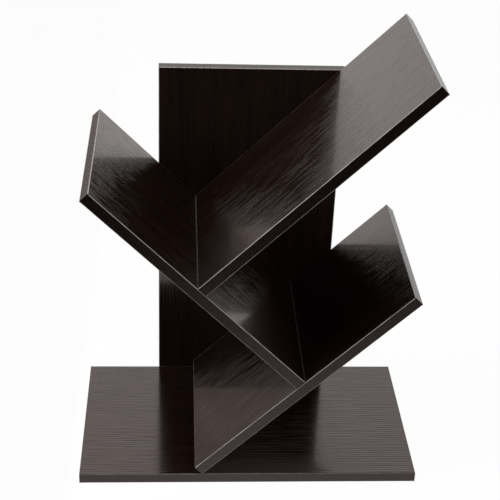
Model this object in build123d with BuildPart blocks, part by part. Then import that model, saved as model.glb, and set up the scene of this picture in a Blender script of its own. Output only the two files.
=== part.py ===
from build123d import *
import os
from math import cos, radians, sin, tan

# Desktop bookshelf: a base board and an upright back panel carry three equal shelves that
# climb in a zigzag, each standing square on the middle of the shelf below it.
# Millimetres. X runs to the right, Y from front to back, Z up, and the origin is the middle
# of the footprint on the desk.

# Boards, all cut from one sheet
BOARD_THICKNESS = 12.0
BASE_LENGTH = 365.0
SHELF_DEPTH = 200.0  # front to back, of the base and of each shelf
SHELF_LENGTH = 308.0
SHELF_ANGLE = 45.0  # slope of the lower and the upper shelf
FOOT_X = -50.0  # where the lower shelf's bottom corner stands on the base
PANEL_WIDTH = 200.0
PANEL_HEIGHT = 400.0

# Edge bands, glued round all four edges of each board
BAND_THICKNESS = 1.0
BAND_FLAT = 0.2  # least width of band left square behind its rounding
ARRIS_RADIUS = 0.8

# Countersunk connector screws with a hexagon socket
SCREW_LENGTH = 40.0
SCREW_DIAMETER = 5.0
SCREW_CLEARANCE = 0.1  # between the screw and its hole, all round
SCREW_HOLE_SPARE = 1.0  # depth of a blind hole past the screw's end
HEAD_DIAMETER = 8.5
HEAD_ANGLE = 90.0  # full angle of the countersunk cone
SOCKET_ACROSS_FLATS = 3.0
SOCKET_DEPTH = 1.6

# Plastic caps over the screw heads that show
CAP_DIAMETER = 12.0
CAP_HEIGHT = 1.4
CAP_BEVEL = 0.7
CAP_STEM_LENGTH = 1.2  # length of the hexagon stem inside the screw's socket
CAP_STEM_CLEARANCE = 0.05  # between the stem and the socket, on each flat

# Places of the screws, from the ends of the stretch where two boards meet
PANEL_SCREW_INSET = 30.0
SHELF_SCREW_INSET = 45.0

arris = min(ARRIS_RADIUS, BAND_THICKNESS - BAND_FLAT)
half_thickness = BOARD_THICKNESS / 2
half_length = SHELF_LENGTH / 2
front_y = -(SHELF_DEPTH + BOARD_THICKNESS) / 2
middle_y = front_y + SHELF_DEPTH / 2
panel_y = front_y + SHELF_DEPTH  # the panel's front face, which every board butts on

# Directions in the slope of the shelves: up along the lower shelf, and square to it
slope = radians(SHELF_ANGLE)
rise = Vector(cos(slope), 0, sin(slope))
lean = Vector(-sin(slope), 0, cos(slope))

# The lower shelf's rounded bottom corner touches the base, so the sharp corner that the
# board would have without its rounding lies a little lower.
rounded_off = arris * (cos(slope) + sin(slope) - 1)
foot = Vector(FOOT_X, middle_y, BOARD_THICKNESS - rounded_off)

# Each board's plane lies in the middle of one face, with its X along the board's length and
# its normal through the thickness. A shelf starts on the upper face of the one below it.
up_one_shelf = BOARD_THICKNESS + half_length
base_plane = Plane((0, middle_y, 0))
panel_plane = Plane((0, panel_y, PANEL_HEIGHT / 2), x_dir=(0, 0, 1), z_dir=(0, 1, 0))
lower_plane = Plane(foot + rise * half_length, x_dir=rise, z_dir=lean)
middle_plane = Plane(
    lower_plane.origin + lean * up_one_shelf - rise * half_thickness,
    x_dir=-lean,
    z_dir=rise,
)
upper_plane = Plane(
    middle_plane.origin + rise * up_one_shelf - lean * half_thickness,
    x_dir=rise,
    z_dir=lean,
)


# Each joint is a pair of screws, driven through the face of one board into the edge of
# another. A screw's place lies where the boards meet, with its Z towards the head.
def screw_pair(plane, length, inset):
    """Places of two screws along a plane's X, set in from both ends of a joint."""
    reach = length / 2 - inset
    return [plane.location * Pos(side * reach, 0, 0) for side in (-1, 1)]


def on_outer_face(places):
    """The same places on the outer face of the board that the screws pass through."""
    return [place * Pos(0, 0, BOARD_THICKNESS) for place in places]


def board_on_panel(board_plane, first, last):
    """Screws through the panel into a board's rear edge, from first to last along it."""
    middle = board_plane.from_local_coords(((first + last) / 2, 0, half_thickness))
    seat = Plane((middle.X, panel_y, middle.Z), x_dir=board_plane.x_dir, z_dir=(0, 1, 0))
    return screw_pair(seat, last - first, PANEL_SCREW_INSET)


def shelf_on_panel(shelf_plane):
    """Screws into a shelf, over the stretch of its middle line that the panel covers."""
    start = shelf_plane.from_local_coords((0, 0, half_thickness))
    along = shelf_plane.x_dir
    sides = sorted((side * PANEL_WIDTH / 2 - start.X) / along.X for side in (-1, 1))
    heights = sorted((height - start.Z) / along.Z for height in (0, PANEL_HEIGHT))
    first = max(-half_length, sides[0], heights[0])
    last = min(half_length, sides[1], heights[1])
    return board_on_panel(shelf_plane, first, last)


def shelf_on_shelf(carrier_plane):
    """Screws from under a shelf into the foot of the shelf that stands on its middle."""
    middle = carrier_plane.from_local_coords((0, 0, BOARD_THICKNESS))
    seat = Plane(middle, x_dir=(0, 1, 0), z_dir=-carrier_plane.z_dir)
    return screw_pair(seat, SHELF_DEPTH, SHELF_SCREW_INSET)


base_screws = board_on_panel(base_plane, -PANEL_WIDTH / 2, PANEL_WIDTH / 2)
lower_screws = shelf_on_panel(lower_plane)
middle_screws = shelf_on_panel(middle_plane)
upper_screws = shelf_on_panel(upper_plane)
panel_screws = base_screws + lower_screws + middle_screws + upper_screws
middle_foot_screws = shelf_on_shelf(lower_plane)
upper_foot_screws = shelf_on_shelf(middle_plane)
shelf_screws = middle_foot_screws + upper_foot_screws


def export(builder, name):
    """Label a finished piece and write it under its own name."""
    builder.part.label = name
    export_step(builder.part, f"parts/{name}.step")


def drill_edge(places):
    """Blind screw holes in a board's edge, which also pass through the band there."""
    if places:
        with Locations(*places):
            Hole(
                radius=SCREW_DIAMETER / 2 + SCREW_CLEARANCE,
                depth=SCREW_LENGTH - BOARD_THICKNESS + SCREW_HOLE_SPARE,
            )


def make_board(name, plane, length, width, sides, through_screws, edge_screws):
    """A board with its screw holes, and the bands on its four edges.

    The sides name the board's ends, at low and high X, whose bands run the full width, and
    its long edges, at low and high Y, whose bands lie between them. Screws that pass through
    the board's face are given by their places, and those into an edge by that edge's side.
    """
    core_length = length - 2 * BAND_THICKNESS
    core_width = width - 2 * BAND_THICKNESS
    with BuildPart() as board:
        with BuildSketch(plane):
            Rectangle(core_length, core_width)
        extrude(amount=BOARD_THICKNESS)
        if through_screws:
            with Locations(*on_outer_face(through_screws)):
                CounterSinkHole(
                    radius=SCREW_DIAMETER / 2 + SCREW_CLEARANCE,
                    counter_sink_radius=HEAD_DIAMETER / 2 + SCREW_CLEARANCE,
                    counter_sink_angle=HEAD_ANGLE,
                    depth=BOARD_THICKNESS,
                )
        for places in edge_screws.values():
            drill_edge(places)
    export(board, f"{name}_board")

    low_end, high_end, low_edge, high_edge = sides
    for side, outward, reach, along, run in (
        (low_end, -plane.x_dir, length / 2, plane.y_dir, width),
        (high_end, plane.x_dir, length / 2, plane.y_dir, width),
        (low_edge, -plane.y_dir, width / 2, plane.x_dir, core_length),
        (high_edge, plane.y_dir, width / 2, plane.x_dir, core_length),
    ):
        band_middle = outward * (reach - BAND_THICKNESS / 2) + plane.z_dir * half_thickness
        with BuildPart() as band:
            with BuildSketch(Plane(plane.origin + band_middle, outward, along)) as section:
                Rectangle(BAND_THICKNESS, BOARD_THICKNESS)
                fillet(section.vertices().group_by(Axis.X)[-1], radius=arris)
            extrude(amount=run / 2, both=True)
            drill_edge(edge_screws.get(side))
        export(band, f"{name}_{side}_band")


os.makedirs("parts", exist_ok=True)

# The base lies on the desk and butts on the panel, which stands on the desk behind it.
make_board(
    "base",
    base_plane,
    BASE_LENGTH,
    SHELF_DEPTH,
    ("left", "right", "front", "rear"),
    through_screws=[],
    edge_screws={"rear": base_screws},
)
make_board(
    "back_panel",
    panel_plane,
    PANEL_HEIGHT,
    PANEL_WIDTH,
    ("bottom", "top", "left", "right"),
    through_screws=panel_screws,
    edge_screws={},
)

# The three shelves are one size of board, drilled for the places where they stand.
make_board(
    "lower_shelf",
    lower_plane,
    SHELF_LENGTH,
    SHELF_DEPTH,
    ("foot", "tip", "front", "rear"),
    through_screws=middle_foot_screws,
    edge_screws={"rear": lower_screws},
)
make_board(
    "middle_shelf",
    middle_plane,
    SHELF_LENGTH,
    SHELF_DEPTH,
    ("tip", "foot", "front", "rear"),
    through_screws=upper_foot_screws,
    edge_screws={"rear": middle_screws, "foot": middle_foot_screws},
)
make_board(
    "upper_shelf",
    upper_plane,
    SHELF_LENGTH,
    SHELF_DEPTH,
    ("foot", "tip", "front", "rear"),
    through_screws=[],
    edge_screws={"rear": upper_screws, "foot": upper_foot_screws},
)

# One blunt-ended screw, its head's flat top at the origin and its shank down the Z axis
head_radius = HEAD_DIAMETER / 2
shank_radius = SCREW_DIAMETER / 2
head_height = (head_radius - shank_radius) / tan(radians(HEAD_ANGLE / 2))
with BuildPart() as screw:
    with BuildSketch(Plane.XZ):
        with BuildLine():
            Polyline(
                (0, 0),
                (head_radius, 0),
                (shank_radius, -head_height),
                (shank_radius, -SCREW_LENGTH),
                (0, -SCREW_LENGTH),
                close=True,
            )
        make_face()
    revolve(axis=Axis.Z)
    with BuildSketch():
        RegularPolygon(SOCKET_ACROSS_FLATS / 2, side_count=6, major_radius=False)
    extrude(amount=-SOCKET_DEPTH, mode=Mode.SUBTRACT)

# One cap, its flat underside on the board's face and its stem down in the screw's socket
with BuildPart() as cap:
    with BuildSketch():
        Circle(CAP_DIAMETER / 2)
    extrude(amount=CAP_HEIGHT)
    chamfer(cap.edges().group_by(Axis.Z)[-1], length=CAP_BEVEL)
    with BuildSketch():
        RegularPolygon(
            SOCKET_ACROSS_FLATS / 2 - CAP_STEM_CLEARANCE, side_count=6, major_radius=False
        )
    extrude(amount=-CAP_STEM_LENGTH)

# Heads behind the panel stay bare, and caps hide those under the shelves.
for group_name, piece, places in (
    ("panel_screws", screw.part, panel_screws),
    ("shelf_screws", screw.part, shelf_screws),
    ("shelf_screw_caps", cap.part, shelf_screws),
):
    with BuildPart() as group:
        with Locations(*on_outer_face(places)):
            add(piece)
    export(group, group_name)
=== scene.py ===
from math import cos, pi, radians, sin

import bpy
from mathutils import Matrix, Vector

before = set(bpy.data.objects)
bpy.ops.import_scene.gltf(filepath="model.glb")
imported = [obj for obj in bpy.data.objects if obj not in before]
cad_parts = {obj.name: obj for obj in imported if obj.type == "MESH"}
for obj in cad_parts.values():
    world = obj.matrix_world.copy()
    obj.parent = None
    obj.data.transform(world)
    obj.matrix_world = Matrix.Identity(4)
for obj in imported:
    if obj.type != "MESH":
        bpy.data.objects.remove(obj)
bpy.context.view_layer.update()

# Boards: the base, the back panel and the three equal shelves that climb in a zigzag.
# Each is 12 mm particle board with an espresso oak-grained melamine paper pressed on both
# faces. It is cut to size and screwed to its neighbours, through a face into an edge.
MM = 0.001
BOARD_GRAIN = {  # degrees about Y that lay a board's length along X, and its width's axis then
    "base": (0, "Y"),
    "back_panel": (90, "Z"),
    "lower_shelf": (45, "Y"),
    "middle_shelf": (-45, "Y"),
    "upper_shelf": (45, "Y"),
}
PAPER_BROWN = "#0d0604"
PAPER_STREAK = "#180d08"
FIGURE_LENGTH = 160.0  # mm, of a streak in the paper's printed figure
FIGURE_WIDTH = 9.0  # mm
FIGURE_RANGE = (0.35, 0.65)  # of the noise, from plain brown to full streak
PORE_PITCH = 3.7  # mm, some three times as coarse as the pressed pores, so that they show
PORE_LENGTH = 28.0  # mm
PORE_DEPTH = 0.085  # mm
PORE_RANGE = (0.5, 0.95)  # of the wave, from flat resin to the bottom of a pore
STOP_RANGE = (0.36, 0.6)  # of the noise, from where a pore runs shallow to where it is full
SHALLOW_SHARE = 0.5  # of a pore's full depth, where it runs shallow
WANDER_LENGTH = 110.0  # mm along the grain over which a line of pores wanders
WANDER = 4.0  # how far the lines wander, which also makes their pitch uneven
WAVE_PERIODS = 20 / (2 * pi)  # periods of a wave texture in one unit of length
MELAMINE_IOR = 1.8  # melamine resin has about 1.68; raised to match its mirror images
RESIN_SHEEN = "#ffe6e0"
RESIN_ROUGHNESS = 0.11
RESIN_GLOSS = 0.52  # specular level, where 0.5 is just what the IOR gives
PORE_SHEEN = "#fff0ec"
PORE_ROUGHNESS = 0.27
PORE_GLOSS = 0.95


def linear(hex_colour):
    """A scene-linear colour, with alpha, from an sRGB hex value."""
    channels = [int(hex_colour[i:i + 2], 16) / 255 for i in (1, 3, 5)]
    return [c / 12.92 if c <= 0.04045 else ((c + 0.055) / 1.055) ** 2.4 for c in channels] + [1]


def add_node(tree, kind, inputs=None, **settings):
    """One shader node with its settings; each input takes a value or another node's output."""
    node = tree.nodes.new("ShaderNode" + kind)
    for name, value in settings.items():
        setattr(node, name, value)
    for name, value in (inputs or {}).items():
        if isinstance(value, bpy.types.NodeSocket):
            tree.links.new(value, node.inputs[name])
        else:
            node.inputs[name].default_value = value
    return node


def empty_material(name):
    """A new material with nothing in its node tree, and that tree."""
    material = bpy.data.materials.new(name)
    material.use_nodes = True
    material.node_tree.nodes.clear()
    return material, material.node_tree


def dress(node, material):
    """Give a piece this material alone."""
    node.data.materials.clear()
    node.data.materials.append(material)


def along_board(tree, turn, length, width):
    """Coordinates turned with a board, one unit per pattern length and width in mm."""
    place = add_node(tree, "TexCoord").outputs["Object"]
    square = add_node(
        tree, "Mapping", {"Vector": place, "Rotation": (0, radians(turn), 0)}
    ).outputs["Vector"]
    scale = (1 / (length * MM), 1 / (width * MM), 1 / (width * MM))
    return add_node(tree, "Mapping", {"Vector": square, "Scale": scale}).outputs["Vector"]


def melamine(name, turn, width_axis):
    """Espresso oak melamine: a printed paper under clear melamine resin, pressed semi-gloss.

    To the eye it is a near-black red-brown that mirrors pale surroundings softly. The pores
    that the press plate leaves along the grain have sloping flanks and a rougher bottom, and
    break the edges of those mirror images into streaks.
    """
    material, tree = empty_material(f"espresso_oak_melamine_{name}")

    # Pores: wandering lines along the board, each of them shallower here and there
    lines = add_node(
        tree,
        "TexWave",
        {
            "Vector": along_board(tree, turn, WANDER_LENGTH, WAVE_PERIODS * PORE_PITCH),
            "Scale": 1.0,
            "Distortion": WANDER,
            "Detail": 1.0,
            "Detail Scale": 1.5,
            "Detail Roughness": 0.5,
        },
        bands_direction=width_axis,
    ).outputs["Fac"]
    thin = add_node(
        tree,
        "MapRange",
        {"Value": lines, "From Min": PORE_RANGE[0], "From Max": PORE_RANGE[1]},
        interpolation_type="SMOOTHSTEP",
    ).outputs["Result"]
    stops = add_node(
        tree,
        "TexNoise",
        {
            "Vector": along_board(tree, turn, PORE_LENGTH, PORE_PITCH),
            "Scale": 1.0,
            "Detail": 1.0,
            "Roughness": 0.5,
        },
    ).outputs["Fac"]
    kept = add_node(
        tree,
        "MapRange",
        {
            "Value": stops,
            "From Min": STOP_RANGE[0],
            "From Max": STOP_RANGE[1],
            "To Min": SHALLOW_SHARE,
            "To Max": 1.0,
        },
        interpolation_type="SMOOTHSTEP",
    ).outputs["Result"]
    pores = add_node(tree, "Math", {0: thin, 1: kept}, operation="MULTIPLY").outputs["Value"]

    # Paper: long streaks of the printed figure, a little paler than the rest
    print_noise = add_node(
        tree,
        "TexNoise",
        {
            "Vector": along_board(tree, turn, FIGURE_LENGTH, FIGURE_WIDTH),
            "Scale": 1.0,
            "Detail": 3.0,
            "Roughness": 0.6,
        },
    ).outputs["Fac"]
    figure = add_node(
        tree,
        "MapRange",
        {"Value": print_noise, "From Min": FIGURE_RANGE[0], "From Max": FIGURE_RANGE[1]},
    ).outputs["Result"]
    colour = add_node(
        tree,
        "Mix",
        {0: figure, 6: linear(PAPER_BROWN), 7: linear(PAPER_STREAK)},
        data_type="RGBA",
    ).outputs[2]

    # Resin: smooth between the pores, and spread across the grain inside them
    roughness = add_node(
        tree,
        "MapRange",
        {"Value": pores, "To Min": RESIN_ROUGHNESS, "To Max": PORE_ROUGHNESS},
    ).outputs["Result"]
    sheen = add_node(
        tree,
        "Mix",
        {0: pores, 6: linear(RESIN_SHEEN), 7: linear(PORE_SHEEN)},
        data_type="RGBA",
    ).outputs[2]
    gloss = add_node(
        tree,
        "MapRange",
        {"Value": pores, "To Min": RESIN_GLOSS, "To Max": PORE_GLOSS},
    ).outputs["Result"]
    relief = add_node(
        tree,
        "Bump",
        {"Strength": 1.0, "Distance": PORE_DEPTH * MM, "Height": pores},
        invert=True,
    ).outputs["Normal"]
    facing = add_node(tree, "TexCoord").outputs["Normal"]
    length = (cos(radians(turn)), 0, sin(radians(turn)))
    across = add_node(
        tree, "VectorMath", {0: facing, 1: length}, operation="CROSS_PRODUCT"
    ).outputs["Vector"]
    shader = add_node(
        tree,
        "BsdfPrincipled",
        {
            "Base Color": colour,
            "Roughness": roughness,
            "IOR": MELAMINE_IOR,
            "Specular IOR Level": gloss,
            "Specular Tint": sheen,
            "Anisotropic": pores,
            "Tangent": across,
            "Normal": relief,
        },
    )
    add_node(tree, "OutputMaterial", {"Surface": shader.outputs["BSDF"]})
    return material


for board, (turn, width_axis) in BOARD_GRAIN.items():
    dress(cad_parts[f"{board}_board"], melamine(board, turn, width_axis))

# Edge bands: strips of espresso PVC, 1 mm thick, glued round all four edges of each board.
# They are trimmed flush and rounded by scraping along both arrises, which leaves a paler line;
# that pale line also carries a painted highlight.
BAND_BROWN = "#120a08"
# Pale tone of the arrises: real scraping, and a painted highlight.
SCRAPE_AND_HIGHLIGHT_GREY = "#989592"
BASE_SCRAPE_AND_HIGHLIGHT = 0.4  # strength of the pale lines round the base, from scraping and painted highlight, fainter than the others
PVC_IOR = 1.54
PVC_ROUGHNESS = (0.22, 0.32)
ARRIS_RANGE = (0.999, 0.98)  # of the normal's largest part, from the flat into the rounding
SCRAPE_MARK_LENGTH = 14.0  # mm
SCRAPE_MARK_WIDTH = 1.6  # mm
SCRAPE_MARK_DEPTH = 0.02  # mm
LEAST_SCRAPE_AND_HIGHLIGHT = 0.5  # share of the pale tone, scraping and painted highlight, that is left between two scraper marks
NOISE_RANGE = (0.3, 0.7)  # where nearly all values of a noise texture lie


def pvc_edging(name, turn, scrape_and_highlight):
    """Extruded PVC edging: satin dark brown, its arrises paler from scraping and a painted
    highlight.
    """
    material, tree = empty_material(f"espresso_pvc_edging_{name}")

    # On a band's flats one part of the turned normal is 1, and on its rounded arrises none is.
    facing = add_node(tree, "TexCoord").outputs["Normal"]
    square = add_node(
        tree,
        "Mapping",
        {"Vector": facing, "Rotation": (0, radians(turn), 0)},
        vector_type="VECTOR",
    ).outputs["Vector"]
    size = add_node(tree, "VectorMath", {0: square}, operation="ABSOLUTE").outputs["Vector"]
    parts = add_node(tree, "SeparateXYZ", {"Vector": size}).outputs
    larger = add_node(
        tree, "Math", {0: parts["X"], 1: parts["Y"]}, operation="MAXIMUM"
    ).outputs["Value"]
    largest = add_node(
        tree, "Math", {0: larger, 1: parts["Z"]}, operation="MAXIMUM"
    ).outputs["Value"]
    arris = add_node(
        tree,
        "MapRange",
        {"Value": largest, "From Min": ARRIS_RANGE[0], "From Max": ARRIS_RANGE[1]},
    ).outputs["Result"]

    marks = add_node(
        tree,
        "TexNoise",
        {
            "Vector": along_board(tree, turn, SCRAPE_MARK_LENGTH, SCRAPE_MARK_WIDTH),
            "Scale": 1.0,
            "Detail": 2.0,
            "Roughness": 0.6,
        },
    ).outputs["Fac"]
    patchy = add_node(
        tree,
        "MapRange",
        {
            "Value": marks,
            "From Min": NOISE_RANGE[0],
            "From Max": NOISE_RANGE[1],
            "To Min": LEAST_SCRAPE_AND_HIGHLIGHT * scrape_and_highlight,
            "To Max": scrape_and_highlight,
        },
    ).outputs["Result"]
    scraped_and_highlit = add_node(tree, "Math", {0: arris, 1: patchy}, operation="MULTIPLY").outputs["Value"]
    # Pale arrises: real scraping and a painted highlight, mixed into the band's colour.
    colour = add_node(
        tree,
        "Mix",
        {0: scraped_and_highlit, 6: linear(BAND_BROWN), 7: linear(SCRAPE_AND_HIGHLIGHT_GREY)},
        data_type="RGBA",
    ).outputs[2]
    roughness = add_node(
        tree,
        "MapRange",
        {
            "Value": marks,
            "From Min": NOISE_RANGE[0],
            "From Max": NOISE_RANGE[1],
            "To Min": PVC_ROUGHNESS[0],
            "To Max": PVC_ROUGHNESS[1],
        },
    ).outputs["Result"]
    relief = add_node(
        tree, "Bump", {"Strength": 1.0, "Distance": SCRAPE_MARK_DEPTH * MM, "Height": marks}
    ).outputs["Normal"]
    shader = add_node(
        tree,
        "BsdfPrincipled",
        {
            "Base Color": colour,
            "Roughness": roughness,
            "IOR": PVC_IOR,
            "Specular Tint": linear(RESIN_SHEEN),
            "Normal": relief,
        },
    )
    add_node(tree, "OutputMaterial", {"Surface": shader.outputs["BSDF"]})
    return material


for board, (turn, _) in BOARD_GRAIN.items():
    edging = pvc_edging(board, turn, BASE_SCRAPE_AND_HIGHLIGHT if board == "base" else 1.0)
    for name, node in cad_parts.items():
        if name.startswith(board) and name.endswith("_band"):
            dress(node, edging)

# Connector screws: eight through the panel into the boards, four through shelves into shelves.
# Cold-headed steel with a bright zinc plate, driven flush with a hexagon key.
ZINC_LIGHT = "#c3c4c2"
ZINC_DULL = "#9d9f9e"
ZINC_ROUGHNESS = (0.28, 0.42)
PLATE_MOTTLE = 1.5  # mm
PLATE_RELIEF = 0.02  # mm


def zinc_plate():
    """Bright zinc plate: a pale satin metal, faintly mottled where the plate lies thicker."""
    material, tree = empty_material("zinc_plated_steel")
    place = add_node(tree, "TexCoord").outputs["Object"]
    mottle = add_node(
        tree,
        "TexNoise",
        {"Vector": place, "Scale": 1 / (PLATE_MOTTLE * MM), "Detail": 3.0, "Roughness": 0.6},
    ).outputs["Fac"]
    colour = add_node(
        tree,
        "Mix",
        {0: mottle, 6: linear(ZINC_LIGHT), 7: linear(ZINC_DULL)},
        data_type="RGBA",
    ).outputs[2]
    roughness = add_node(
        tree,
        "MapRange",
        {
            "Value": mottle,
            "From Min": NOISE_RANGE[0],
            "From Max": NOISE_RANGE[1],
            "To Min": ZINC_ROUGHNESS[0],
            "To Max": ZINC_ROUGHNESS[1],
        },
    ).outputs["Result"]
    relief = add_node(
        tree, "Bump", {"Strength": 1.0, "Distance": PLATE_RELIEF * MM, "Height": mottle}
    ).outputs["Normal"]
    shader = add_node(
        tree,
        "BsdfPrincipled",
        {"Base Color": colour, "Metallic": 1.0, "Roughness": roughness, "Normal": relief},
    )
    add_node(tree, "OutputMaterial", {"Surface": shader.outputs["BSDF"]})
    return material


plate = zinc_plate()
for name in ("panel_screws", "shelf_screws"):
    dress(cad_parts[name], plate)

# Screw caps: four brown discs that hide the screw heads under the shelves.
# Injection-moulded polyethylene, each pushed into its screw's socket by a stem.
CAP_BROWN = "#33211b"
CAP_PALE = "#3f2b24"
CAP_ROUGHNESS = (0.4, 0.52)
MOULD_GRAIN = 0.7  # mm, coarser than the mould's real grain, so that it shows
MOULD_RELIEF = 0.02  # mm
POLYETHYLENE_IOR = 1.51


def moulded_cap():
    """Moulded polyethylene: a waxy satin brown with the mould's fine spark-eroded grain."""
    material, tree = empty_material("moulded_polyethylene")
    place = add_node(tree, "TexCoord").outputs["Object"]
    grain = add_node(
        tree,
        "TexNoise",
        {"Vector": place, "Scale": 1 / (MOULD_GRAIN * MM), "Detail": 2.0, "Roughness": 0.5},
    ).outputs["Fac"]
    colour = add_node(
        tree,
        "Mix",
        {0: grain, 6: linear(CAP_BROWN), 7: linear(CAP_PALE)},
        data_type="RGBA",
    ).outputs[2]
    roughness = add_node(
        tree,
        "MapRange",
        {
            "Value": grain,
            "From Min": NOISE_RANGE[0],
            "From Max": NOISE_RANGE[1],
            "To Min": CAP_ROUGHNESS[0],
            "To Max": CAP_ROUGHNESS[1],
        },
    ).outputs["Result"]
    relief = add_node(
        tree, "Bump", {"Strength": 1.0, "Distance": MOULD_RELIEF * MM, "Height": grain}
    ).outputs["Normal"]
    shader = add_node(
        tree,
        "BsdfPrincipled",
        {
            "Base Color": colour,
            "Roughness": roughness,
            "IOR": POLYETHYLENE_IOR,
            "Normal": relief,
        },
    )
    add_node(tree, "OutputMaterial", {"Surface": shader.outputs["BSDF"]})
    return material


dress(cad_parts["shelf_screw_caps"], moulded_cap())

# Paper floor, part of the stage: a wide sheet of white paper that the bookshelf stands on.
# The camera sees it white, with a trace of its real shading. In mirror images it glows white next
# to the base, a painted pool of light; its colour carries painted shade, darker towards its front
# edge and grey in the flag's painted shadow at the left.
PAPER_WHITE = "#f4f4f3"
# Painted shade: the grey that the paper's colour turns towards its front edge and at the left.
PAPER_PAINTED_SHADE = "#6e6e6c"
PAPER_SHADING = 0.03  # share of the real shading that the camera sees
PAPER_FRONT = -0.55  # metres, as all that follows
PAPER_REAR = 3.2
PAPER_SIDE = 2.6
WHITE_FROM = -0.1  # front to back, where the painted shade ends and the paper is fully white, at the base's front
MIRRORED_FROM = -0.26  # where mirror images begin to show it white
FLAG_PAINTED_SHADOW = (-0.2, -0.185)  # from left to right, where the flag's painted shadow begins to fade and ends


def stage_card(name, corners):
    """A flat card of the stage, given by its corners in metres."""
    mesh = bpy.data.meshes.new(name)
    mesh.from_pydata(corners, [], [(0, 1, 2, 3)])
    card = bpy.data.objects.new(name, mesh)
    bpy.context.scene.collection.objects.link(card)
    return card


def white_paper():
    """Matt white paper: an even white, with a painted shade of soft grey where less light would
    reach it.
    """
    material, tree = empty_material("white_paper")
    place = add_node(
        tree, "SeparateXYZ", {"Vector": add_node(tree, "TexCoord").outputs["Object"]}
    ).outputs
    painted_light_fall = add_node(
        tree, "MapRange", {"Value": place["Y"], "From Min": PAPER_FRONT, "From Max": WHITE_FROM}
    ).outputs["Result"]
    near_base = add_node(
        tree, "MapRange", {"Value": place["Y"], "From Min": MIRRORED_FROM, "From Max": WHITE_FROM}
    ).outputs["Result"]
    past_painted_shadow = add_node(
        tree,
        "MapRange",
        {"Value": place["X"], "From Min": FLAG_PAINTED_SHADOW[0], "From Max": FLAG_PAINTED_SHADOW[1]},
    ).outputs["Result"]
    painted_glow_share = add_node(
        tree, "Math", {0: near_base, 1: past_painted_shadow}, operation="MULTIPLY"
    ).outputs["Value"]
    painted_light_reach = add_node(
        tree, "Math", {0: painted_light_fall, 1: past_painted_shadow}, operation="MULTIPLY"
    ).outputs["Value"]
    # Painted shade and painted shadow: the paper's colour greys towards its front and past the
    # flag.
    colour = add_node(
        tree,
        "Mix",
        {0: painted_light_reach, 6: linear(PAPER_PAINTED_SHADE), 7: linear(PAPER_WHITE)},
        data_type="RGBA",
    ).outputs[2]
    lit = add_node(tree, "BsdfDiffuse", {"Color": colour}).outputs["BSDF"]
    white = add_node(
        tree, "Emission", {"Color": (1, 1, 1, 1), "Strength": 1.0}
    ).outputs["Emission"]
    rays = add_node(tree, "LightPath").outputs
    # Painted light: mirror images see the paper glow white only next to the base.
    mirrored = add_node(
        tree, "Math", {0: rays["Is Glossy Ray"], 1: painted_glow_share}, operation="MULTIPLY"
    ).outputs["Value"]
    direct = add_node(
        tree,
        "Math",
        {0: rays["Is Camera Ray"], 1: rays["Is Transmission Ray"]},
        operation="MAXIMUM",
    ).outputs["Value"]
    seen = add_node(tree, "Math", {0: direct, 1: mirrored}, operation="MAXIMUM").outputs["Value"]
    share = add_node(
        tree, "Math", {0: seen, 1: 1 - PAPER_SHADING}, operation="MULTIPLY"
    ).outputs["Value"]
    look = add_node(tree, "MixShader", {0: share, 1: lit, 2: white}).outputs["Shader"]
    add_node(tree, "OutputMaterial", {"Surface": look})
    material.cycles.emission_sampling = "NONE"
    return material


paper = stage_card(
    "paper_floor",
    [
        (-PAPER_SIDE, PAPER_FRONT, 0),
        (PAPER_SIDE, PAPER_FRONT, 0),
        (PAPER_SIDE, PAPER_REAR, 0),
        (-PAPER_SIDE, PAPER_REAR, 0),
    ],
)
paper.data.materials.append(white_paper())

# Studio floor, part of the stage: the dark floor of the room in front of the paper.
# The camera doesn't see it, but mirror images do.
STUDIO_GREY = "#262626"
STUDIO_FRONT = -4.0

studio_floor = stage_card(
    "studio_floor",
    [
        (-PAPER_SIDE, STUDIO_FRONT, 0),
        (PAPER_SIDE, STUDIO_FRONT, 0),
        (PAPER_SIDE, PAPER_FRONT, 0),
        (-PAPER_SIDE, PAPER_FRONT, 0),
    ],
)
floor_material, tree = empty_material("dark_studio_floor")
shader = add_node(tree, "BsdfDiffuse", {"Color": linear(STUDIO_GREY)})
add_node(tree, "OutputMaterial", {"Surface": shader.outputs["BSDF"]})
studio_floor.data.materials.append(floor_material)
studio_floor.visible_camera = False

# Cove foot, part of the stage: the lowest part of the white cove behind the bookshelf.
# Its lower left carries a painted shade, a soft grey in its colour. It shows only in mirror
# images, and neither lights nor shades.
COVE_Y = 0.8
COVE_FOOT_TOP = 0.6
# painted shade, the grey of the cove's lower left
COVE_PAINTED_SHADE = "#958883"
SHADE_RIGHT = (-0.46, -0.38)  # where the painted shade begins to fade to the right, and where it ends
SHADE_TOP = (0.62, 0.7)  # heights of the same over the middle of the bookshelf
SHADE_RISE = 0.5  # height that the top of the painted shade gains per metre to the right


def only_in_mirrors(card):
    """Leave a card to mirror images, hidden from the camera and from all other light."""
    card.visible_camera = False
    card.visible_diffuse = False
    card.visible_shadow = False


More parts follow.
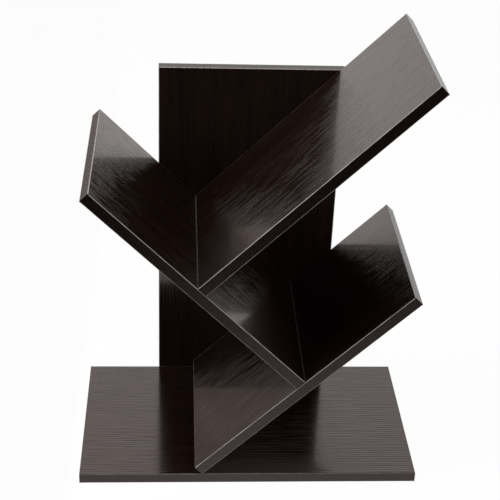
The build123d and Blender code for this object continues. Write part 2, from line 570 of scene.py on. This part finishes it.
def painted_cove():
    """White painted cove: an even white, with a soft-edged grey painted shade at its lower left.
    """
    material, tree = empty_material("cove_with_painted_shade")
    place = add_node(
        tree, "SeparateXYZ", {"Vector": add_node(tree, "TexCoord").outputs["Object"]}
    ).outputs
    fall = add_node(
        tree, "Math", {0: place["X"], 1: -SHADE_RISE}, operation="MULTIPLY"
    ).outputs["Value"]
    slanted = add_node(tree, "Math", {0: place["Z"], 1: fall}, operation="ADD").outputs["Value"]
    edges = [
        add_node(
            tree,
            "MapRange",
            {"Value": value, "From Min": first, "From Max": last},
            interpolation_type="SMOOTHSTEP",
        ).outputs["Result"]
        for value, (first, last) in ((place["X"], SHADE_RIGHT), (slanted, SHADE_TOP))
    ]
    clear = add_node(
        tree, "Math", {0: edges[0], 1: edges[1]}, operation="MAXIMUM"
    ).outputs["Value"]
    # Painted shade: the card's colour turns grey at its lower left.
    colour = add_node(
        tree,
        "Mix",
        {0: clear, 6: linear(COVE_PAINTED_SHADE), 7: (1, 1, 1, 1)},
        data_type="RGBA",
    ).outputs[2]
    shader = add_node(tree, "Emission", {"Color": colour, "Strength": 1.0})
    add_node(tree, "OutputMaterial", {"Surface": shader.outputs["Emission"]})
    material.cycles.emission_sampling = "NONE"
    return material


cove_foot = stage_card(
    "cove_foot",
    [
        (-PAPER_SIDE, COVE_Y, 0),
        (PAPER_SIDE, COVE_Y, 0),
        (PAPER_SIDE, COVE_Y, COVE_FOOT_TOP),
        (-PAPER_SIDE, COVE_Y, COVE_FOOT_TOP),
    ],
)
cove_foot.data.materials.append(painted_cove())
only_in_mirrors(cove_foot)

# Flag, part of the stage: an upright board covered in black felt, left of the bookshelf.
# It darkens what the boards mirror from that side, a painted dark reflection standing in for
# shade there; it casts no shadow and shows only in mirror images.
FLAG_PAINTED_DARK = "#0a0a0a"
FLAG_X = -0.45
FLAG_FRONT = -0.2
FLAG_REAR = 0.2
FLAG_HEIGHT = 0.58

flag = stage_card(
    "flag_left",
    [
        (FLAG_X, FLAG_FRONT, 0),
        (FLAG_X, FLAG_REAR, 0),
        (FLAG_X, FLAG_REAR, FLAG_HEIGHT),
        (FLAG_X, FLAG_FRONT, FLAG_HEIGHT),
    ],
)
# Painted dark reflection: black felt that only mirror images see.
flag_material, tree = empty_material("painted_dark_felt")
shader = add_node(tree, "BsdfDiffuse", {"Color": linear(FLAG_PAINTED_DARK)})
add_node(tree, "OutputMaterial", {"Surface": shader.outputs["BSDF"]})
flag.data.materials.append(flag_material)
only_in_mirrors(flag)

# Studio: the white cove rises behind and round both sides, and the rest of the room is dim.
# The camera sees plain white. Three softboxes light the bookshelf from both sides and above,
# and are hidden from mirror images, so that the boards mirror nothing brighter than the cove.
ROOM_LEVEL = 0.12
COVE_ENDS = (-0.5, -0.2)  # of a direction's front-to-back part, from the dim room to the cove
COVE_RISE = 0.4  # height that the top of the cove gains with that part
COVE_TOP = (0.62, 0.42)  # of a direction's upward part, from the dim room down to the cove
LAMPS = {  # place, point aimed at, width and height in metres, watts
    "softbox_left": ((-1.25, -0.25, 0.8), (0, 0, 0.2), 0.7, 0.9, 8.0),
    "softbox_right": ((0.7, -1.1, 1.0), (0, 0, 0.2), 0.7, 0.9, 11.0),
    "softbox_top": ((-0.6, -0.05, 1.5), (0, 0, 0.2), 0.7, 0.7, 18.0),
}

world = bpy.data.worlds.new("studio")
bpy.context.scene.world = world
world.use_nodes = True
tree = world.node_tree
tree.nodes.clear()
direction = add_node(tree, "TexCoord").outputs["Generated"]
parts = add_node(tree, "SeparateXYZ", {"Vector": direction}).outputs
behind = add_node(
    tree,
    "MapRange",
    {"Value": parts["Y"], "From Min": COVE_ENDS[0], "From Max": COVE_ENDS[1]},
    interpolation_type="SMOOTHSTEP",
).outputs["Result"]
fall = add_node(
    tree, "Math", {0: parts["Y"], 1: -COVE_RISE}, operation="MULTIPLY"
).outputs["Value"]
sloped = add_node(tree, "Math", {0: parts["Z"], 1: fall}, operation="ADD").outputs["Value"]
below_top = add_node(
    tree,
    "MapRange",
    {"Value": sloped, "From Min": COVE_TOP[0], "From Max": COVE_TOP[1]},
    interpolation_type="SMOOTHSTEP",
).outputs["Result"]
cove = add_node(tree, "Math", {0: behind, 1: below_top}, operation="MULTIPLY").outputs["Value"]
rays = add_node(tree, "LightPath").outputs
mirrored = add_node(
    tree, "Math", {0: rays["Is Glossy Ray"], 1: cove}, operation="MULTIPLY"
).outputs["Value"]
level = ROOM_LEVEL
for white in (rays["Is Camera Ray"], rays["Is Transmission Ray"], mirrored):
    level = add_node(tree, "Math", {0: level, 1: white}, operation="MAXIMUM").outputs["Value"]
sky = add_node(tree, "Background", {"Color": (1, 1, 1, 1), "Strength": level})
add_node(tree, "OutputWorld", {"Surface": sky.outputs["Background"]})

for name, (place, aim, width, height, watts) in LAMPS.items():
    lamp = bpy.data.lights.new(name, "AREA")
    lamp.shape = "RECTANGLE"
    lamp.size = width
    lamp.size_y = height
    lamp.energy = watts
    softbox = bpy.data.objects.new(name, lamp)
    bpy.context.scene.collection.objects.link(softbox)
    softbox.location = place
    softbox.rotation_mode = "QUATERNION"
    softbox.rotation_quaternion = (Vector(aim) - Vector(place)).to_track_quat("-Z", "Y")
    softbox.visible_camera = False
    softbox.visible_glossy = False

# Camera: a short telephoto in front of the bookshelf and above it, fitted to the corners of
# the photographed boards.
CAMERA_PLACE = (-0.08026, -1.12187, 0.87626)  # metres
CAMERA_LENS = 87.32  # mm
CAMERA_SENSOR = 36.0  # mm
CAMERA_PITCH = 29.862  # degrees down
CAMERA_YAW = 4.032  # degrees to the right
CAMERA_ROLL = 2.394  # degrees

camera_data = bpy.data.cameras.new("camera")
camera_data.lens = CAMERA_LENS
camera_data.sensor_width = CAMERA_SENSOR
camera = bpy.data.objects.new("camera", camera_data)
bpy.context.scene.collection.objects.link(camera)
camera.matrix_world = (
    Matrix.Translation(CAMERA_PLACE)
    @ Matrix.Rotation(radians(-CAMERA_YAW), 4, "Z")
    @ Matrix.Rotation(radians(90 - CAMERA_PITCH), 4, "X")
    @ Matrix.Rotation(radians(CAMERA_ROLL), 4, "Z")
)
bpy.context.scene.camera = camera
bpy.context.scene.view_settings.view_transform = "Standard"
